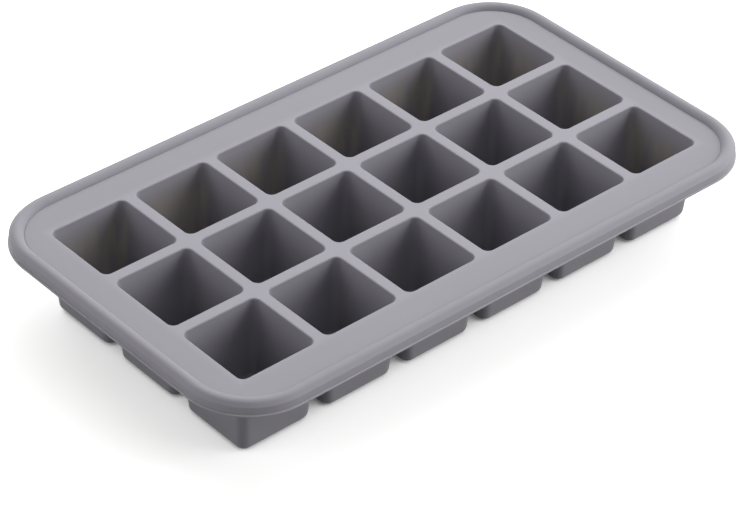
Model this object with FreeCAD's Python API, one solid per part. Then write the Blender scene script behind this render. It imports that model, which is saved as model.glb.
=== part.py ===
"""Silicone ice cube tray: one moulded piece with eighteen tapered cups in a
six by three grid, hanging from a flat plate with a raised rim bead.

Lengths are in millimetres, +Z is up, the long side runs along X, and the
origin is the centre of the base, on the level the cups stand on.
"""
import FreeCAD, Part
import math
import os

from FreeCAD import Vector

# The grid of cavities
columns = 6                 # cavities along the long side
rows = 3                    # cavities along the short side
mouth_width = 29.4          # square mouth, from wall to wall at the plate's top
web_width = 4.6             # plate left between two neighbouring mouths
cavity_depth = 28.5         # from the plate's top down to a cavity's floor
wall_taper = 2.1            # how far each wall leans in on its way to the floor
cavity_corner_radius = 2.5  # upright corners inside a cavity
floor_round_radius = 1.6    # where the walls run into the floor

# The rubber around the cavities
cup_wall = 1.5              # thickness of a cup's side walls
cup_floor = 2.0             # thickness under each cavity
cup_corner_radius = 3.3     # upright corners of a cup's outside
cup_base_round_radius = 3.0 # where the outside runs into the base
plate_thickness = 3.1       # the flat plate that carries all cups

# The border and its rim
end_border = 15.9           # from the outermost mouths to the tray's short ends
side_border = 17.8          # from the outermost mouths to the tray's long sides
outline_corner_radius = 24.4
bead_width = 4.5            # the round bead that runs around the border
bead_height = 1.9           # its crest above the plate's top
bead_arcs = 3               # arcs that its section is drawn in
shoulder_height = 1.0       # where the bead's outer side gives way to a sloping shoulder
shoulder_width = 0.95       # how far the shoulder reaches out
face_height = 0.2           # upper edge of the upright outer face, above the plate's top
lip_step = 0.25             # thin lip that sticks out at the foot of the rim
lip_height = 0.6

# What follows from them
cell_pitch = mouth_width + web_width
plate_top = cavity_depth + cup_floor
plate_bottom = plate_top - plate_thickness
floor_half_width = mouth_width / 2 - wall_taper
half_length = (columns - 1) * cell_pitch / 2 + mouth_width / 2 + end_border
half_width = (rows - 1) * cell_pitch / 2 + mouth_width / 2 + side_border

# The bead is a piece of a circle whose centre lies a little under the plate's top
bead_radius = ((bead_width / 2) ** 2 + bead_height ** 2) / (2 * bead_height)
bead_sink = bead_radius - bead_height

# The rim's reaches are measured outwards from the bead's crest line
shoulder_reach = math.sqrt(bead_radius ** 2 - (shoulder_height + bead_sink) ** 2)
face_reach = shoulder_reach + shoulder_width
lip_reach = face_reach + lip_step


def line(start, end):
    """A straight edge in the XZ plane."""
    return Part.LineSegment(Vector(start[0], 0, start[1]), Vector(end[0], 0, end[1])).toShape()


def arc(centre, radius, start_angle, end_angle):
    """A round edge in the XZ plane, by its centre and the two angles in degrees."""
    points = []
    for angle in (start_angle, (start_angle + end_angle) / 2, end_angle):
        turn = math.radians(angle)
        x = centre[0] + radius * math.cos(turn)
        z = centre[1] + radius * math.sin(turn)
        points.append(Vector(x, 0, z))
    return Part.Arc(points[0], points[1], points[2]).toShape()


def chain(pieces):
    """A face in the XZ plane. Its outline joins the given edges, in order, by straight lines."""
    edges = []
    last = None
    for piece in pieces:
        start = piece.Vertexes[0].Point
        if last is not None and start.distanceToPoint(last) > 1e-6:
            edges.append(Part.LineSegment(last, start).toShape())
        edges.append(piece)
        last = piece.Vertexes[-1].Point
    first = pieces[0].Vertexes[0].Point
    edges.append(Part.LineSegment(last, first).toShape())
    return Part.Face(Part.Wire(edges))


def carry_around(section, straight_x, straight_y):
    """Pushes a section along the four sides of a rectangle and turns it around its four corners.

    The section is drawn in the XZ plane, outwards from the axis that its corners turn about.
    straight_x and straight_y place those four axes.
    """
    pieces = []
    for quarter in range(4):
        faces_x = quarter % 2 == 0
        reach = straight_x if faces_x else straight_y
        half_run = straight_y if faces_x else straight_x
        side = section.copy()
        side.translate(Vector(reach, -half_run, 0))
        side = side.extrude(Vector(0, 2 * half_run, 0))
        side.rotate(Vector(0, 0, 0), Vector(0, 0, 1), 90 * quarter)
        corner = section.revolve(Vector(0, 0, 0), Vector(0, 0, 1), 90)
        corner.rotate(Vector(0, 0, 0), Vector(0, 0, 1), 90 * quarter)
        sign_x = 1 if quarter in (0, 3) else -1
        sign_y = 1 if quarter in (0, 1) else -1
        corner.translate(Vector(sign_x * straight_x, sign_y * straight_y, 0))
        pieces += [side, corner]
    return pieces


def is_level(edge, z):
    """Whether an edge lies whole in one level plane."""
    return abs(edge.BoundBox.ZMin - z) < 1e-4 and abs(edge.BoundBox.ZMax - z) < 1e-4


def tapered_square(low_half, high_half, low_z, high_z, corner_radius):
    """A square block that widens upwards, with its four upright edges rounded."""
    block = Part.makeWedge(
        -low_half, low_z, -low_half, -high_half, -high_half,
        low_half, high_z, low_half, high_half, high_half,
    )
    block.rotate(Vector(0, 0, 0), Vector(1, 0, 0), 90)
    uprights = [edge for edge in block.Edges if not is_level(edge, low_z) and not is_level(edge, high_z)]
    return block.makeFillet(corner_radius, uprights)


def round_the_foot(block, low_half, high_half, low_z, high_z, radius):
    """Rounds the bottom edges of a tapered square block.

    The block's side view, with its two round lower corners, is pushed through it both ways.
    """
    slope = (high_half - low_half) / (high_z - low_z)
    length = math.sqrt(1 + slope ** 2)
    tilt = math.degrees(math.atan(slope))
    centre = (low_half + slope * radius - radius * length, low_z + radius)
    mirrored_centre = (-centre[0], centre[1])
    side_view = chain([
        line((-high_half, high_z), (high_half, high_z)),
        arc(centre, radius, -tilt, -90),
        arc(mirrored_centre, radius, -90, tilt - 180),
    ])
    side_view.translate(Vector(0, -high_half, 0))
    bar = side_view.extrude(Vector(0, 2 * high_half, 0))
    for turn in (0, 90):
        crossing_bar = bar.copy()
        crossing_bar.rotate(Vector(0, 0, 0), Vector(0, 0, 1), turn)
        block = block.common(crossing_bar)
    return block


def make_cup():
    """One cup from the outside, up to the top of the plate."""
    low_half = floor_half_width + cup_wall
    high_half = mouth_width / 2 + cup_wall
    cup = tapered_square(low_half, high_half, 0, plate_top, cup_corner_radius)
    return round_the_foot(cup, low_half, high_half, 0, plate_top, cup_base_round_radius)


def make_cavity():
    """The space inside one cup, carried on by its own taper to past the plate's top."""
    over = plate_thickness
    high_half = mouth_width / 2 + over * wall_taper / cavity_depth
    high_z = plate_top + over
    cavity = tapered_square(floor_half_width, high_half, cup_floor, high_z, cavity_corner_radius)
    return round_the_foot(cavity, floor_half_width, high_half, cup_floor, high_z, floor_round_radius)


def make_rim():
    """The bead, its shoulder, the outer face and the lip, all around the border."""
    crest_x = outline_corner_radius - lip_reach
    foot_x = crest_x - bead_width / 2
    face_x = crest_x + face_reach
    lip_x = crest_x + lip_reach
    foot_turn = 180 - math.degrees(math.asin(bead_sink / bead_radius))
    shoulder_turn = math.degrees(math.asin((shoulder_height + bead_sink) / bead_radius))
    outline = [line((foot_x, plate_bottom), (foot_x, plate_top))]
    for step in range(bead_arcs):
        start_turn = foot_turn + (shoulder_turn - foot_turn) * step / bead_arcs
        end_turn = foot_turn + (shoulder_turn - foot_turn) * (step + 1) / bead_arcs
        outline.append(arc((crest_x, plate_top - bead_sink), bead_radius, start_turn, end_turn))
    outline += [
        line((face_x, plate_top + face_height), (face_x, plate_bottom + lip_height)),
        line((lip_x, plate_bottom + lip_height), (lip_x, plate_bottom)),
    ]
    straight_x = half_length - outline_corner_radius
    straight_y = half_width - outline_corner_radius
    return carry_around(chain(outline), straight_x, straight_y)


def make_plate():
    """The flat plate inside the rim."""
    inset = lip_reach + bead_width / 2
    half_x = half_length - inset
    half_y = half_width - inset
    plate = Part.makeBox(2 * half_x, 2 * half_y, plate_thickness, Vector(-half_x, -half_y, plate_bottom))
    uprights = [edge for edge in plate.Edges if not is_level(edge, plate_top) and not is_level(edge, plate_bottom)]
    return plate.makeFillet(outline_corner_radius - inset, uprights)


def at_every_cell(shape):
    """Copies of one shape, one for each cavity of the grid."""
    copies = []
    for column in range(columns):
        for row in range(rows):
            x = (column - (columns - 1) / 2) * cell_pitch
            y = (row - (rows - 1) / 2) * cell_pitch
            copy = shape.copy()
            copy.translate(Vector(x, y, 0))
            copies.append(copy)
    return copies


def make_tray():
    """Plate, rim and cups in one, with the cavities taken out."""
    body = make_plate().multiFuse(make_rim() + at_every_cell(make_cup()))
    return body.cut(at_every_cell(make_cavity())).removeSplitter()


tray = make_tray()
if len(tray.Solids) == 1:
    tray = tray.Solids[0]

os.makedirs("parts", exist_ok=True)
tray.exportStep("parts/tray.step")
box = tray.optimalBoundingBox(False, False)
print("tray", round(box.XLength, 2), round(box.YLength, 2), round(box.ZLength, 2),
      "valid", tray.isValid(), "volume", round(tray.Volume, 1), tray.ShapeType)
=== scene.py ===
# %% [markdown]
# # A silicone ice cube tray
# The real object is one piece of soft grey rubber: eighteen tapered cups that hang
# from a flat plate, and a thick rounded bead around the plate that keeps it stiff.
# This lesson builds it as one closed skin. One cup is drawn by hand as a stack of
# rings, Geometry Nodes repeat it in six columns and three rows, a second tree
# carries the rim's section around the border, and the last seams are closed in
# mesh code. The finish, the floor and the light follow.

import math

import bmesh
import bpy
from mathutils import Matrix, Vector


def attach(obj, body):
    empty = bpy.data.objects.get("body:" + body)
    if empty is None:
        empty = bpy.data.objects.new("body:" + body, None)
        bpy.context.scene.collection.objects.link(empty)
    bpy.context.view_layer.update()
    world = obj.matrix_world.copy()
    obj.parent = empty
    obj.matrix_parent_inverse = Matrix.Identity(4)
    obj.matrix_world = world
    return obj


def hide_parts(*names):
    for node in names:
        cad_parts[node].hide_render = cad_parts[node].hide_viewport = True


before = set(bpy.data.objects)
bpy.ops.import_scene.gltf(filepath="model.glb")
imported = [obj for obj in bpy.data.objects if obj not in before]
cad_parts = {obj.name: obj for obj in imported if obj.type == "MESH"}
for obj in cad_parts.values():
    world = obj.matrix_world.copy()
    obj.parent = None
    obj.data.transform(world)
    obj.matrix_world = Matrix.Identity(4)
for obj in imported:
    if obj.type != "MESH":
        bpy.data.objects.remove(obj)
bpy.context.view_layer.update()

# %% [markdown]
# ## The camera
# The photograph looks down on the tray from its front left, 37 degrees above the
# table, with a long lens, so its parallel lines hardly meet. A camera can be aimed
# by hand until the picture looks right. Here its angles, its distance and the
# point it looks at are written down, and its matrix is worked out from them.

# %% Camera
photo_width = 739
sensor_width = 36.0
focal_pixels = 2910.11


def add_object(name, data):
    """An object with its data, linked into the scene."""
    obj = bpy.data.objects.new(name, data)
    bpy.context.scene.collection.objects.link(obj)
    return obj


def direction(azimuth, elevation):
    """The way from the tray to what looks or shines at it. Azimuth 0 is in front, towards -Y."""
    turn, lift = math.radians(azimuth), math.radians(elevation)
    return Vector((math.sin(turn) * math.cos(lift), -math.cos(turn) * math.cos(lift), math.sin(lift)))


def aim_camera(azimuth, elevation, roll, distance, target):
    """A camera at a distance from its target, leaning sideways by its roll."""
    turn, lean = math.radians(azimuth), math.radians(roll)
    back = direction(azimuth, elevation)
    level = Vector((math.cos(turn), math.sin(turn), 0.0))
    upright = back.cross(level)
    right = level * math.cos(lean) + upright * math.sin(lean)
    up = upright * math.cos(lean) - level * math.sin(lean)
    place = target + back * distance
    rows_of_matrix = [[right[i], up[i], back[i], place[i]] for i in range(3)]
    data = bpy.data.cameras.new("camera")
    data.sensor_width = sensor_width
    data.lens = focal_pixels * sensor_width / photo_width
    data.clip_start, data.clip_end = 0.05, 20.0
    camera = add_object("camera", data)
    camera.matrix_world = Matrix(rows_of_matrix + [[0, 0, 0, 1]])
    return camera


bpy.context.scene.camera = aim_camera(
    azimuth=-42.4503, elevation=36.8194, roll=1.7800, distance=0.93259,
    target=Vector((-0.028051, -0.025824, 0.0307)),
)
print("The lens is", round(bpy.context.scene.camera.data.lens, 1), "mm long")

# %% [markdown]
# ## The sizes
# A mould maker would start from the cube: how wide it is at its mouth, how deep it
# is, and how far its walls lean in, so that the ice slides out. The plate, the
# border and the bead follow from it. They are the CAD model's lengths, in
# millimetres, with two small rounds that the CAD model doesn't have: the soft edge
# of the mouths and the hollow under the plate. The mouths are 0.3 mm wider here, to
# make room for their edge. Every point is divided by a thousand when its mesh is made.

# %% Sizes
columns, rows = 6, 3
pitch = 34.0                 # from one cup's middle to the next
mouth_half = 14.85           # half the mouth, on the plate's top
floor_half = 12.6            # half the cavity's floor
base_half = 14.1             # half the cup's outside, at its base
shoulder_half = 16.2         # half the cup's outside, if it went up to the plate's top
plate_top = 30.5
plate_bottom = 27.4
cavity_floor = 2.0
cavity_corner, cup_corner = 2.5, 3.3
edge_round = 0.5             # the soft edge of each mouth
floor_round, base_round = 1.6, 3.0
web_round = 0.5              # where a cup's outside meets the plate from below
half_length, half_width = 115.6, 66.5
outline_corner = 24.4
print("The tray has", columns * rows, "cups and is", 2 * half_length, "x", 2 * half_width, "mm large")

# %% [markdown]
# ## Rings with round corners
# A tapered cup with round corners could be a cube with a bevel, but a bevel on a
# leaning wall gives uneven corners. A stack of rings gives each corner and each
# edge its own radius. Every ring has the same number of points, in the same order,
# so two neighbours are joined by a band of four-sided faces.

# %% Rings
corner_steps = 8             # faces around one upright corner
side_marks = [0.03, 0.3, 0.5, 0.7, 0.97]     # points along a straight side, as shares of it
cell_steps = corner_steps + len(side_marks) + 1


def ring(half, corner, z, corner_points):
    """A level square ring: the points of one corner and of the side after it, turned to all four."""
    inner = half - corner
    side_points = [(inner - 2 * inner * mark, half) for mark in side_marks]
    points = []
    for quarter in range(4):
        turn = Matrix.Rotation(math.radians(90 * quarter), 3, "Z")
        points += [turn @ Vector((x, y, z)) for x, y in corner_points + side_points]
    return points


def square_ring(half, corner, z):
    """A level square ring with round corners."""
    inner = half - corner
    corner_points = []
    for step in range(corner_steps + 1):
        angle = math.radians(90 * step / corner_steps)
        corner_points.append((inner + corner * math.cos(angle), inner + corner * math.sin(angle)))
    return ring(half, corner, z, corner_points)


def cell_ring(half, corner, z):
    """A level square ring with sharp corners, and points opposite those of a round one."""
    inner = half - corner
    corner_points = []
    for step in range(corner_steps + 1):
        share = 2 * step / corner_steps
        corner_points.append((half - corner * max(share - 1, 0), inner + corner * min(share, 1)))
    return ring(half, corner, z, corner_points)


print("One ring has", len(square_ring(mouth_half, cavity_corner, plate_top)), "points")

# %% [markdown]
# ## A skin through a stack
# Blender's bridge tool joins two loops, but it guesses which points belong
# together. These rings have matching points, so their faces are written out. The
# last ring lies in the middle of a floor, and a fan of triangles closes it.

# %% Bands and stacks
def add_band(bm, outer, inner):
    """Four-sided faces between two rings of vertices."""
    count = len(outer)
    for i in range(count):
        after = (i + 1) % count
        bm.faces.new((outer[i], outer[after], inner[after], inner[i]))


def add_stack(bm, rings):
    """A skin through all rings. The last ring is closed by a fan around its middle."""
    made = [[bm.verts.new(point / 1000) for point in points] for points in rings]
    for outer, inner in zip(made, made[1:]):
        add_band(bm, outer, inner)
    last = made[-1]
    middle = bm.verts.new(sum((v.co for v in last), Vector()) / len(last))
    for i, vertex in enumerate(last):
        bm.faces.new((vertex, last[(i + 1) % len(last)], middle))


# %% [markdown]
# ## The rounds of a wall
# Each wall of a cup is a straight line that leans, with a round at its top and one
# at its foot. The two helpers below give the points of such a round: they roll a
# ball into the corner between a level plane and the leaning wall. The upper one
# serves twice, for the soft edge of the mouth and for the hollow under the plate.

# %% Walls and rounds
round_steps = 6


def wall(low_half, high_half, low_z, high_z):
    """The wall's half width at any height, and its lean from upright in radians."""
    slope = (high_half - low_half) / (high_z - low_z)
    return (lambda z: low_half + slope * (z - low_z)), math.atan(slope)


def upper_round(half_at, lean, level, radius):
    """(half width, height) of a round from a level plane outside the wall, down onto the wall."""
    z_middle = level - radius
    middle = half_at(z_middle) + radius / math.cos(lean)
    path = []
    for step in range(round_steps + 1):
        angle = (math.pi / 2 - lean) * step / round_steps
        path.append((middle - radius * math.sin(angle), z_middle + radius * math.cos(angle)))
    return path


def foot_round(half_at, lean, level, radius):
    """(half width, height) of a round from the wall down onto a level plane inside it."""
    z_middle = level + radius
    middle = half_at(z_middle) - radius / math.cos(lean)
    path = []
    for step in range(round_steps + 1):
        angle = -lean + (math.pi / 2 + lean) * step / round_steps
        path.append((middle + radius * math.cos(angle), z_middle - radius * math.sin(angle)))
    return path


inside_half, inside_lean = wall(floor_half, mouth_half, cavity_floor, plate_top)
outside_half, outside_lean = wall(base_half, shoulder_half, 0, plate_top)
print("The cavity's walls lean", round(math.degrees(inside_lean), 1), "degrees, the outside's",
      round(math.degrees(outside_lean), 1))

# %% [markdown]
# ## One cup, inside and outside
# The cup has two skins, one for its cavity and one for its outside. Both start at
# the square cell that the cup takes up in the plate, go over a round, down the
# wall, over the foot's round and in to the middle. Beside each round there is one
# more ring, close by, which keeps the flat faces flat when they are shaded smooth.

# %% Cup
guard = 0.22                 # distance of the ring that guards a round
cell_corner = 4.0            # stretch of the cell's edge that faces a round corner
least_corner = 0.3           # smallest corner radius of a ring in the foot's round
wall_shares = (0.33, 0.67)   # rings on the wall
flat_shares = (0.66, 0.33)   # rings on the floor


def cup_side(level, high_path, low_path, half_at, corner, low_level):
    """All rings of one side of the cup, from the cell's edge to the middle of its floor."""
    widest = high_path[0][0]
    rings = [cell_ring(pitch / 2, cell_corner, level)]
    rings.append(square_ring(widest + guard, corner + widest + guard - half_at(level), level))
    for half, z in high_path:
        rings.append(square_ring(half, corner + max(half - half_at(z), 0), z))
    top, foot = high_path[-1][1], low_path[0][1]
    for z in (top - guard, *(top + (foot - top) * share for share in wall_shares), foot + guard):
        rings.append(square_ring(half_at(z), corner, z))
    for half, z in low_path:
        rings.append(square_ring(half, max(corner - (half_at(z) - half), least_corner), z))
    flat, flat_corner = low_path[-1][0], corner - (half_at(low_level) - low_path[-1][0])
    for share in (1 - guard / flat, *flat_shares):
        rings.append(square_ring(flat * share, flat_corner * share, low_level))
    return rings


inside_rings = cup_side(
    plate_top,
    upper_round(inside_half, inside_lean, plate_top, edge_round),
    foot_round(inside_half, inside_lean, cavity_floor, floor_round),
    inside_half, cavity_corner, cavity_floor,
)
outside_rings = cup_side(
    plate_bottom,
    upper_round(outside_half, outside_lean, plate_bottom, web_round),
    foot_round(outside_half, outside_lean, 0, base_round),
    outside_half, cup_corner, 0,
)
bm = bmesh.new()
add_stack(bm, inside_rings)
add_stack(bm, outside_rings)
cup_mesh = bpy.data.meshes.new("cup")
bm.to_mesh(cup_mesh)
bm.free()
print("One cup has", len(cup_mesh.polygons), "faces")

# %% [markdown]
# ## Node trees in a script
# A node tree is usually drawn by hand in Blender's editor. In a script the same tree
# takes many lines, so one helper adds a node with its settings and its inputs at
# once. Another runs a finished Geometry Nodes tree on an object, and takes the result
# out as a plain mesh, because later steps work on points.

# %% Helpers for node trees
def add_node(tree, kind, inputs=None, **settings):
    """Adds a node. Each input is set to a value, or linked to another node's output."""
    node = tree.nodes.new(kind)
    for name, value in settings.items():
        setattr(node, name, value)
    for key, value in (inputs or {}).items():
        if isinstance(value, bpy.types.NodeSocket):
            tree.links.new(value, node.inputs[key])
        else:
            node.inputs[key].default_value = value
    return node


def calculate(tree, operation, *values):
    """The result of a Math node, whose values are numbers or other nodes' outputs."""
    return add_node(tree, "ShaderNodeMath", dict(enumerate(values)), operation=operation).outputs[0]


def new_tree(name, inputs):
    """A Geometry Nodes tree with one geometry in and out, and the named inputs."""
    tree = bpy.data.node_groups.new(name, "GeometryNodeTree")
    tree.is_modifier = True
    for label, kind in [("Geometry", "NodeSocketGeometry")] + inputs:
        tree.interface.new_socket(label, in_out="INPUT", socket_type=kind)
    tree.interface.new_socket("Geometry", in_out="OUTPUT", socket_type="NodeSocketGeometry")
    return tree


def run_tree(obj, tree, values):
    """Runs a tree on an object, removes the object, and returns what the tree made as a plain mesh."""
    modifier = obj.modifiers.new(tree.name, "NODES")
    modifier.node_group = tree
    for item in tree.interface.items_tree:
        if item.in_out == "INPUT" and item.name in values:
            modifier[item.identifier] = values[item.name]
    bpy.context.view_layer.update()
    evaluated = obj.evaluated_get(bpy.context.evaluated_depsgraph_get())
    mesh = bpy.data.meshes.new_from_object(evaluated)
    obj.modifiers.remove(modifier)
    bpy.data.objects.remove(obj)
    return mesh


# %% [markdown]
# ## Eighteen cups
# An array modifier could repeat the cup, once along each side. Geometry Nodes do
# both at a time, with the counts and the distance as named inputs: a grid of
# points, one cup on each, made real, and welded where two cups share an edge.

# %% The tree that repeats the cup
silicone = bpy.data.materials.new("matt_grey_silicone")
weld_distance = 1e-6
cups_tree = new_tree("cups_in_a_grid", [
    ("Columns", "NodeSocketInt"), ("Rows", "NodeSocketInt"), ("Pitch", "NodeSocketFloat"),
    ("Weld", "NodeSocketFloat"), ("Material", "NodeSocketMaterial"),
])
given = add_node(cups_tree, "NodeGroupInput").outputs
gaps_along = calculate(cups_tree, "SUBTRACT", given["Columns"], 1)
gaps_across = calculate(cups_tree, "SUBTRACT", given["Rows"], 1)
grid = add_node(cups_tree, "GeometryNodeMeshGrid", {
    "Size X": calculate(cups_tree, "MULTIPLY", gaps_along, given["Pitch"]),
    "Size Y": calculate(cups_tree, "MULTIPLY", gaps_across, given["Pitch"]),
    "Vertices X": given["Columns"], "Vertices Y": given["Rows"],
})
place = add_node(cups_tree, "GeometryNodeInstanceOnPoints", {
    "Points": grid.outputs["Mesh"], "Instance": given["Geometry"],
})
real = add_node(cups_tree, "GeometryNodeRealizeInstances", {"Geometry": place.outputs["Instances"]})
weld = add_node(cups_tree, "GeometryNodeMergeByDistance", {
    "Geometry": real.outputs["Geometry"], "Distance": given["Weld"],
})
paint = add_node(cups_tree, "GeometryNodeSetMaterial", {
    "Geometry": weld.outputs["Geometry"], "Material": given["Material"],
})
add_node(cups_tree, "NodeGroupOutput", {"Geometry": paint.outputs["Geometry"]})

cups_mesh = run_tree(add_object("cup", cup_mesh), cups_tree, {
    "Columns": columns, "Rows": rows, "Pitch": pitch / 1000, "Weld": weld_distance, "Material": silicone,
})
print("The cups together have", len(cups_mesh.polygons), "faces")

# %% [markdown]
# ## The rim's section
# The border ends in a round bead with a hollow at its foot, a sloping shoulder, an
# upright face, and a thin lip where the two halves of the mould met. Sculpting or
# bevelling it would be slow, so its section is drawn once. The face stands 0.17 mm
# further in than the CAD model's, so that the thin lip below it catches the light.
# The section is drawn outwards from the bead's crest and up from the plate's top.

# %% Sizes of the rim
bead_width, bead_height = 4.5, 1.9
shoulder_height, shoulder_width = 1.0, 0.78
face_height = 0.2
lip_step, lip_height = 0.42, 0.6
plate_thickness = plate_top - plate_bottom
bead_radius = ((bead_width / 2) ** 2 + bead_height ** 2) / (2 * bead_height)
bead_sink = bead_radius - bead_height
shoulder_reach = math.sqrt(bead_radius ** 2 - (shoulder_height + bead_sink) ** 2)
face_reach = shoulder_reach + shoulder_width
lip_reach = face_reach + lip_step
lip_top = lip_height - plate_thickness
print("The rim reaches", round(lip_reach, 2), "mm out from the bead's crest")

# %% The section's outline
bead_steps = 16
bead_gap = 0.05              # the bead's arc ends this short of the shoulder, in radians
shoulder_gap = 0.12          # and the shoulder begins this far out, so the corner stays soft
foot = -bead_width / 2
start = foot - 2.4           # the level strip that the rim brings with it


def beside(x, z, steps):
    """Points of the section, by their steps from one of its corners."""
    return [(x + step_x, z + step_z) for step_x, step_z in steps]


section = [(start, 0.0), (foot - 1.0, 0.0), (foot - 0.45, 0.0)]
section += beside(foot, 0.0, [
    (-0.32, -0.005), (-0.22, -0.06), (-0.12, -0.14), (-0.04, -0.16), (0.01, -0.07),
])
foot_turn = math.pi - math.asin(bead_sink / bead_radius)
shoulder_turn = math.asin((shoulder_height + bead_sink) / bead_radius)
for step in range(1, bead_steps + 1):
    angle = foot_turn + (shoulder_turn + bead_gap - foot_turn) * step / bead_steps
    section.append((bead_radius * math.cos(angle), bead_radius * math.sin(angle) - bead_sink))
slope = (shoulder_height - face_height) / shoulder_width
for back in (shoulder_width - shoulder_gap, shoulder_width / 2, 0.2, 0.08):
    section.append((face_reach - back, face_height + slope * back))
section += beside(face_reach, face_height, [(-0.02, -0.02), (0, -0.1), (0, -0.3)])
section += beside(face_reach, lip_top, [
    (0, 0.6), (0, 0.34), (-0.04, 0.24), (-0.07, 0.1), (-0.04, 0.01), (0.05, -0.02),
])
section += beside(lip_reach, lip_top, [(-0.14, -0.03), (-0.04, -0.08), (0, -0.2)])
section += beside(lip_reach, -plate_thickness, [(0, 0.1), (-0.04, 0.03), (-0.14, 0), (-0.4, 0)])
section.append((start, -plate_thickness))
print("The section has", len(section), "points")

# %% [markdown]
# ## The border's line
# The section will follow the bead's crest around the border. A rounded rectangle
# could come from a curve, but the line needs exactly as many points as the cups'
# outer edge, so that the two can be joined face by face. So its points are counted
# out: some for each corner, and what is left for the side after it.

# %% The border's line
border_corner_steps = 24
path_radius = outline_corner - lip_reach
straight_x, straight_y = half_length - outline_corner, half_width - outline_corner


def border_line():
    """The bead's crest line, anticlockwise, with as many points as the cups' outer edge."""
    runs = [(-2 * straight_x, 0), (0, -2 * straight_y), (2 * straight_x, 0), (0, 2 * straight_y)]
    points = []
    for quarter, run in enumerate(runs):
        middle_x = straight_x if quarter in (0, 3) else -straight_x
        middle_y = straight_y if quarter in (0, 1) else -straight_y
        for step in range(border_corner_steps + 1):
            angle = math.radians(90 * quarter + 90 * step / border_corner_steps)
            x = middle_x + path_radius * math.cos(angle)
            y = middle_y + path_radius * math.sin(angle)
            points.append(Vector((x, y, plate_top)))
        cells = columns if quarter % 2 == 0 else rows
        steps = cells * cell_steps - border_corner_steps
        corner_end = points[-1]
        points += [corner_end + Vector((*run, 0)) * step / steps for step in range(1, steps)]
    return points


def line_mesh(name, points, closed):
    """A mesh of edges only, through the points in order."""
    mesh = bpy.data.meshes.new(name)
    count = len(points)
    edges = [(i, (i + 1) % count) for i in range(count if closed else count - 1)]
    mesh.from_pydata([point / 1000 for point in points], edges, [])
    return mesh


border_points = border_line()
edge_points = 2 * (columns + rows) * cell_steps
print("The border has", len(border_points), "points, and the cups' outer edge", edge_points)

# %% [markdown]
# ## The section on its line
# A second tree carries the section along the line. Both are turned into curves,
# the line's sideways direction is kept level, and Curve to Mesh does the rest. The
# section lies flat in its own object, as a profile has to.

# %% The tree that carries the section
rim_tree = new_tree("rim_on_a_line", [("Section", "NodeSocketObject"), ("Material", "NodeSocketMaterial")])
given = add_node(rim_tree, "NodeGroupInput").outputs
to_line = add_node(rim_tree, "GeometryNodeMeshToCurve", {"Mesh": given["Geometry"]})
level = add_node(rim_tree, "GeometryNodeSetCurveNormal", {"Curve": to_line.outputs["Curve"]}, mode="Z_UP")
drawn = add_node(rim_tree, "GeometryNodeObjectInfo", {"Object": given["Section"]})
to_section = add_node(rim_tree, "GeometryNodeMeshToCurve", {"Mesh": drawn.outputs["Geometry"]})
sweep = add_node(rim_tree, "GeometryNodeCurveToMesh", {
    "Curve": level.outputs["Curve"], "Profile Curve": to_section.outputs["Curve"],
})
real = add_node(rim_tree, "GeometryNodeRealizeInstances", {"Geometry": sweep.outputs["Mesh"]})
paint = add_node(rim_tree, "GeometryNodeSetMaterial", {
    "Geometry": real.outputs["Geometry"], "Material": given["Material"],
})
add_node(rim_tree, "NodeGroupOutput", {"Geometry": paint.outputs["Geometry"]})

flat_section = [Vector((reach, -height, 0)) for reach, height in section]
section_object = add_object("section", line_mesh("section", flat_section, False))
rim_mesh = run_tree(add_object("border", line_mesh("border", border_points, True)), rim_tree, {
    "Section": section_object, "Material": silicone,
})
bpy.data.objects.remove(section_object)
print("The rim has", len(rim_mesh.polygons), "faces")

# %% [markdown]
# ## Closing the skin
# Cups and rim are two skins with open edges. Both open edges on the plate's top
# have the same number of points, and so have the two below. Each pair is put in
# order by its angle around the middle, started at the same corner, and joined by
# two bands of faces. The closed skin then turns all its faces outwards.

# %% Open edges
def open_loops(bm):
    """The closed loops of edges that have a face on one side only."""
    left = {edge for edge in bm.edges if edge.is_boundary}
    loops = []
    while left:
        edge = left.pop()
        loop = {edge}
        front = [edge]
        while front:
            for vertex in front.pop().verts:
                for other in vertex.link_edges:
                    if other in left:
                        left.discard(other)
                        loop.add(other)
                        front.append(other)
        loops.append({vertex for edge in loop for vertex in edge.verts})
    return loops


def in_order(loop):
    """A loop's vertices anticlockwise, from the corner where X and Y are highest."""
    ordered = sorted(loop, key=lambda v: math.atan2(v.co.y, v.co.x))
    first = max(range(len(ordered)), key=lambda i: ordered[i].co.x + ordered[i].co.y)
    return ordered[first:] + ordered[:first]


# %% Join the parts
bm = bmesh.new()
bm.from_mesh(cups_mesh)
bm.from_mesh(rim_mesh)
middle_z = (plate_top + plate_bottom) / 2 / 1000
loops = [in_order(loop) for loop in open_loops(bm)]
for above in (True, False):
    pair = [loop for loop in loops if (loop[0].co.z > middle_z) == above]
    pair.sort(key=lambda loop: loop[0].co.x)
    inner, outer = pair
    halfway = [bm.verts.new((a.co + b.co) / 2) for a, b in zip(inner, outer)]
    add_band(bm, outer, halfway)
    add_band(bm, halfway, inner)
bmesh.ops.remove_doubles(bm, verts=bm.verts, dist=weld_distance)
bmesh.ops.recalc_face_normals(bm, faces=bm.faces)
open_edges = sum(1 for edge in bm.edges if not edge.is_manifold)
volume = bm.calc_volume(signed=True) * 1e6
tray_mesh = bpy.data.meshes.new("tray_skin")
bm.to_mesh(tray_mesh)
bm.free()
tray_mesh.shade_smooth()
tray_mesh.materials.clear()
tray_mesh.materials.append(silicone)
tray = add_object("tray_skin", tray_mesh)
print("The skin has", len(tray_mesh.polygons), "faces and", open_edges, "open edges")
print("It holds", round(volume, 1), "cm3 of rubber")

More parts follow.
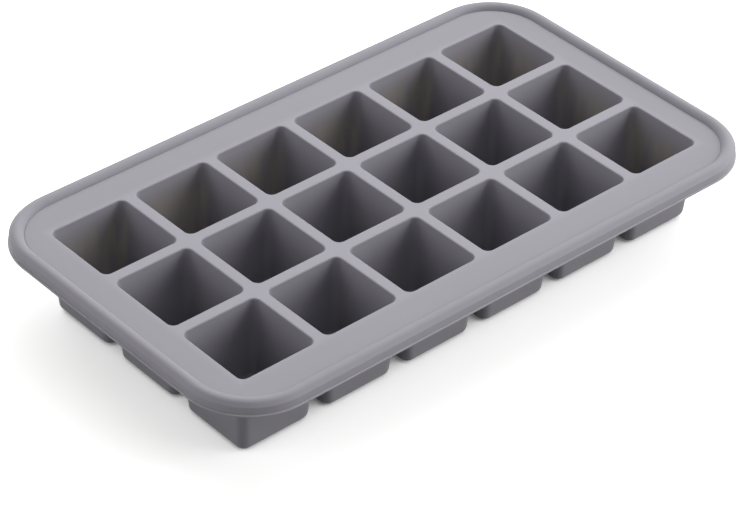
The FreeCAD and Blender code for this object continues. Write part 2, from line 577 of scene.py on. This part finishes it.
# %% [markdown]
# ## Patterns for the finish
# Moulded silicone is matt, because the mould's steel is blasted. A plain grey
# colour would look like plastic, so the colour drifts a little over the piece, and
# a fine grain breaks up the light. Both are groups with named inputs. They read
# Object coordinates, and they put out only values.

# %% Node groups
def new_group(name, inputs, output):
    """A shader node group with named inputs and one output, and the values that come in."""
    group = bpy.data.node_groups.new(name, "ShaderNodeTree")
    for label, value in inputs:
        socket = group.interface.new_socket(label, in_out="INPUT", socket_type="NodeSocketFloat")
        socket.default_value = value
    group.interface.new_socket(output, in_out="OUTPUT", socket_type="NodeSocketFloat")
    return group, add_node(group, "NodeGroupInput").outputs


def fine_grain_group():
    """Height of a fine grain: small soft pits of one size."""
    group, given = new_group("fine_grain", [("Scale", 2500.0), ("Detail", 2.0)], "Height")
    place = add_node(group, "ShaderNodeTexCoord").outputs["Object"]
    noise = add_node(group, "ShaderNodeTexNoise", {
        "Vector": place, "Scale": given["Scale"], "Detail": given["Detail"],
    })
    add_node(group, "NodeGroupOutput", {"Height": noise.outputs["Fac"]})
    return group


def soft_drift_group():
    """A slow change over the surface, from 0 to 1, for colour and gloss."""
    group, given = new_group("soft_drift", [("Scale", 20.0), ("Contrast", 1.0)], "Mask")
    place = add_node(group, "ShaderNodeTexCoord").outputs["Object"]
    noise = add_node(group, "ShaderNodeTexNoise", {
        "Vector": place, "Scale": given["Scale"], "Detail": 3.0,
    })
    centred = calculate(group, "SUBTRACT", noise.outputs["Fac"], 0.5)
    spread = add_node(group, "ShaderNodeMath", {0: centred, 1: given["Contrast"], 2: 0.5},
                      operation="MULTIPLY_ADD", use_clamp=True)
    add_node(group, "NodeGroupOutput", {"Mask": spread.outputs[0]})
    return group


fine_grain, soft_drift = fine_grain_group(), soft_drift_group()
print("The groups are", fine_grain.name, "and", soft_drift.name)

# %% [markdown]
# ## The silicone
# Silicone scatters light softly at grazing angles, which a little sheen does here.
# The constant values are set on the shader itself. The drift moves the colour
# between two greys, and the roughness with it, and the grain is a fine bump.

# %% Base of the silicone
def mix_colours(tree, factor, first, second, blend="MIX"):
    """The result of a Mix node between two colours."""
    inputs = {"Factor": factor, "A": first, "B": second}
    return add_node(tree, "ShaderNodeMix", inputs, data_type="RGBA", blend_type=blend).outputs["Result"]


def fade(tree, value, begin, end, low=0.0, high=1.0, kind="SMOOTHSTEP"):
    """The result of a Map Range node: low where the value is begin, and high where it is end."""
    inputs = {"Value": value, "From Min": begin, "From Max": end, "To Min": low, "To Max": high}
    return add_node(tree, "ShaderNodeMapRange", inputs, interpolation_type=kind).outputs["Result"]


dark_grey = (0.331, 0.321, 0.362, 1)
light_grey = (0.365, 0.355, 0.396, 1)
silicone.use_nodes = True
skin = silicone.node_tree
shader = skin.nodes["Principled BSDF"]
shader.inputs["IOR"].default_value = 1.41
shader.inputs["Specular IOR Level"].default_value = 0.4
shader.inputs["Sheen Weight"].default_value = 0.15
shader.inputs["Sheen Roughness"].default_value = 0.5
drift_node = add_node(skin, "ShaderNodeGroup", node_tree=soft_drift)
drift_node.inputs["Scale"].default_value = 14.0
drift_node.inputs["Contrast"].default_value = 1.6
drift = drift_node.outputs["Mask"]
tone = mix_colours(skin, drift, dark_grey, light_grey)
skin.links.new(fade(skin, drift, 0.0, 1.0, 0.52, 0.62, "LINEAR"), shader.inputs["Roughness"])
grain = add_node(skin, "ShaderNodeGroup", node_tree=fine_grain)
grain.inputs["Scale"].default_value = 2200.0
bump = add_node(skin, "ShaderNodeBump", {
    "Height": grain.outputs["Height"], "Strength": 0.25, "Distance": 0.00004,
})
skin.links.new(bump.outputs["Normal"], shader.inputs["Normal"])
print("The base has", len(skin.nodes), "nodes")

# %% [markdown]
# ## Painted shade on the walls
# The cups' walls look darker than the plate, more than the light alone makes them.
# Vertex colours could paint this too. The height in the piece's own Object coordinates,
# in metres, paints it here: the grey gets deeper towards the cups' feet, which is painted
# shade in the cavities and on the cups' outsides. The Normal in the same frame tells the
# later steps which way a face looks.

# %% Painted shade on the walls
# Painted shade: the colour gets darker with depth, inside the cavities and on the cups' outsides.
painted_shade_begins, painted_shade_full = 0.030, 0.018     # heights between which the grey gets deeper
painted_wall_shade = (0.77, 0.77, 0.77, 1)
where = add_node(skin, "ShaderNodeTexCoord").outputs
spot = add_node(skin, "ShaderNodeSeparateXYZ", {"Vector": where["Object"]}).outputs
facing = add_node(skin, "ShaderNodeSeparateXYZ", {"Vector": where["Normal"]}).outputs
painted_depth_mask = fade(skin, spot["Z"], painted_shade_begins, painted_shade_full)
# The tone is multiplied by the painted shade.
with_painted_shade = mix_colours(skin, painted_depth_mask, tone, painted_wall_shade, "MULTIPLY")
print("With the walls it has", len(skin.nodes), "nodes")

# %% [markdown]
# ## Light through the outer walls
# The outer walls behind and on the right look warm on the inside, in soft upright
# streaks, as thin rubber does with light behind it. The tint is painted light, a mask:
# from the far edge of the outermost cavities' floors on, on faces that don't look
# outwards, and uneven by a noise that is drawn out upwards.

# %% Warm streaks of painted light
right_walls = (0.0945, 0.0975)               # X and Y between which the tint sets in
back_walls = (0.0435, 0.0465)
looks_outwards = 0.05                        # X or Y of the Normal, from which a face has no tint
drawn_upwards = (1.0, 1.0, 0.06)
# Painted light: the warm colour stands in for light that shines through the thin outer walls.
painted_glow_grey = (0.364, 0.327, 0.295, 1)
outer = calculate(skin, "MAXIMUM", fade(skin, spot["X"], *right_walls), fade(skin, spot["Y"], *back_walls))
outward = calculate(skin, "MAXIMUM", facing["X"], facing["Y"])
inward = calculate(skin, "LESS_THAN", outward, looks_outwards)
inside = calculate(skin, "MULTIPLY", outer, inward)
stretch = add_node(skin, "ShaderNodeVectorMath", {0: where["Object"], 1: drawn_upwards}, operation="MULTIPLY")
streaks = add_node(skin, "ShaderNodeTexNoise", {
    "Vector": stretch.outputs["Vector"], "Scale": 330.0, "Detail": 1.0,
})
uneven = fade(skin, streaks.outputs["Fac"], 0.35, 0.65, 0.4, 1.0, "LINEAR")
lit_through = calculate(skin, "MULTIPLY", calculate(skin, "MULTIPLY", inside, uneven), painted_depth_mask)
# The painted glow is mixed into the painted shade.
with_painted_glow = mix_colours(skin, lit_through, with_painted_shade, painted_glow_grey)
print("With the streaks it has", len(skin.nodes), "nodes")

# %% [markdown]
# ## A painted highlight on the lip, and a lighter web
# The thin lip at the foot of the rim looks lighter than the rest, and gets a painted
# highlight. The narrow web between the mouths also looks lighter than the rest, and is
# made so. A mask of the border keeps the two apart: the lip is a thin layer of heights
# on the border, and the web is what looks up away from it.

# %% Painted lip highlight and lighter web
border_begins = (("X", 0.101), ("Y", 0.050))
border_blur = 0.002
lip_middle, lip_half_layer = 0.0279, 0.00013
# Painted highlight: a lighter grey on the lip's top, standing in for light that catches it.
painted_lip_highlight = (0.47, 0.46, 0.50, 1)
web_gain = 0.12
beyond = []
for axis, begins in border_begins:
    away = calculate(skin, "ABSOLUTE", spot[axis])
    beyond.append(fade(skin, away, begins - border_blur, begins + border_blur))
border = calculate(skin, "MAXIMUM", *beyond)
at_lip = calculate(skin, "COMPARE", spot["Z"], lip_middle, lip_half_layer)
with_lip_highlight = mix_colours(skin, calculate(skin, "MULTIPLY", border, at_lip), with_painted_glow, painted_lip_highlight)
within = calculate(skin, "SUBTRACT", 1.0, border)
web = calculate(skin, "MULTIPLY", within, fade(skin, facing["Z"], 0.5, 0.95, kind="LINEAR"))
gain = calculate(skin, "MULTIPLY_ADD", web, web_gain, 1.0)
colour = add_node(skin, "ShaderNodeVectorMath", {0: with_lip_highlight, "Scale": gain}, operation="SCALE")
skin.links.new(colour.outputs["Vector"], shader.inputs["Base Color"])
print("The silicone has", len(skin.nodes), "nodes")

# %% [markdown]
# ## The floor
# The photograph stands on pure white, with only a soft shadow. More light would
# wash the tray out. The floor and the world add white for the camera alone, so
# the object is lit at a plain level and the shadow stays. The added white would fill
# the dark gaps under the tray, so ambient occlusion takes it away where the cups
# stand close.

# %% Floor
def white_for_the_camera(tree, strength):
    """A value that is the strength for rays that a viewer sees, and 0 for light on the object."""
    path = add_node(tree, "ShaderNodeLightPath").outputs
    seen = path["Is Camera Ray"]
    for other in ("Is Glossy Ray", "Is Transmission Ray"):
        seen = calculate(tree, "MAXIMUM", seen, path[other])
    return calculate(tree, "MULTIPLY", seen, strength)


paper_grey = 0.35            # what the object sees
paper_white, paper_glow = 0.56, 0.605        # what the camera sees on top, as colour and as light
floor_material = bpy.data.materials.new("white_floor")
floor_material.use_nodes = True
paper = floor_material.node_tree
shader = paper.nodes["Principled BSDF"]
shader.inputs["Roughness"].default_value = 0.9
shader.inputs["Specular IOR Level"].default_value = 0.2
shader.inputs["Emission Color"].default_value = (1, 0.995, 0.985, 1)
paper_tone = calculate(paper, "ADD", white_for_the_camera(paper, paper_white), paper_grey)
paper.links.new(paper_tone, shader.inputs["Base Color"])
open_sky = add_node(paper, "ShaderNodeAmbientOcclusion", {"Distance": 0.02}, samples=8)
shade = add_node(paper, "ShaderNodeValToRGB", {"Fac": open_sky.outputs["AO"]})
stops = shade.color_ramp.elements
kept_glow = ((0.18, 0.15), (0.4, 0.72), (0.58, 0.93))        # openness, and the share that stays
for position, share in kept_glow:
    stops.new(position).color = (share, share, share, 1)
stops.remove(stops[0])
glow = calculate(paper, "MULTIPLY", white_for_the_camera(paper, paper_glow), shade.outputs["Color"])
paper.links.new(glow, shader.inputs["Emission Strength"])

floor_reach = 4.0
floor_drop = 0.0002          # the floor lies this far under the cups' base
floor_corners = [(x * floor_reach, y * floor_reach, 0) for x, y in ((-1, -1), (1, -1), (1, 1), (-1, 1))]
floor_mesh = bpy.data.meshes.new("floor")
floor_mesh.from_pydata(floor_corners, [], [(0, 1, 2, 3)])
floor_mesh.materials.append(floor_material)
floor = add_object("floor", floor_mesh)
floor.location.z = -floor_drop
print("The floor is", 2 * floor_reach, "m wide")

# %% [markdown]
# ## The world
# A bright world would light the tray from all sides and take its shadows away.
# This one gives the object only a trace of light, and is full white to the camera.

# %% World
sky_level = 0.02
world = bpy.data.worlds.new("studio")
world.use_nodes = True
bpy.context.scene.world = world
air = world.node_tree
sky = air.nodes["Background"]
sky.inputs["Color"].default_value = (1, 1, 1, 1)
sky_strength = calculate(air, "ADD", white_for_the_camera(air, 1 - sky_level), sky_level)
air.links.new(sky_strength, sky.inputs["Strength"])
print("The world's own light is", sky_level)

# %% [markdown]
# ## The lamps
# The plate is the lightest face, the near walls are darker, and no shadow has a
# hard edge. One wide soft lamp behind the tray does most of the work. A lower one on
# the right lights the near long side, and two weak ones fill the left and the front.
# All stand 1.8 m away, so that near and far cups get the same light.

# %% Lamps
lamp_distance = 1.8
lamp_depth = 1.35


def soft_lamp(name, azimuth, elevation, width, power):
    """A rectangular area lamp that shines at the tray's middle."""
    data = bpy.data.lights.new(name, "AREA")
    data.shape = "RECTANGLE"
    data.size, data.size_y = width, lamp_depth
    data.energy = power
    lamp = add_object(name, data)
    lamp.location = direction(azimuth, elevation) * lamp_distance
    lamp.rotation_euler = (-lamp.location).to_track_quat("-Z", "Y").to_euler()
    return lamp


lamps = [
    soft_lamp("right", azimuth=47.6, elevation=22, width=1.35, power=22.4),
    soft_lamp("back", azimuth=137.6, elevation=52, width=3.2, power=34.3),
    soft_lamp("left", azimuth=254, elevation=22, width=1.35, power=9.5),
    soft_lamp("front", azimuth=2.6, elevation=52, width=1.35, power=2.6),
]
print("The lamps give", round(sum(lamp.data.energy for lamp in lamps), 1), "W together")

# %% [markdown]
# ## The last steps
# The skin stands for the CAD node of the tray and rides on its body.

# %% Finish
bpy.context.scene.view_settings.view_transform = "Standard"
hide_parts("tray")
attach(tray, "root")
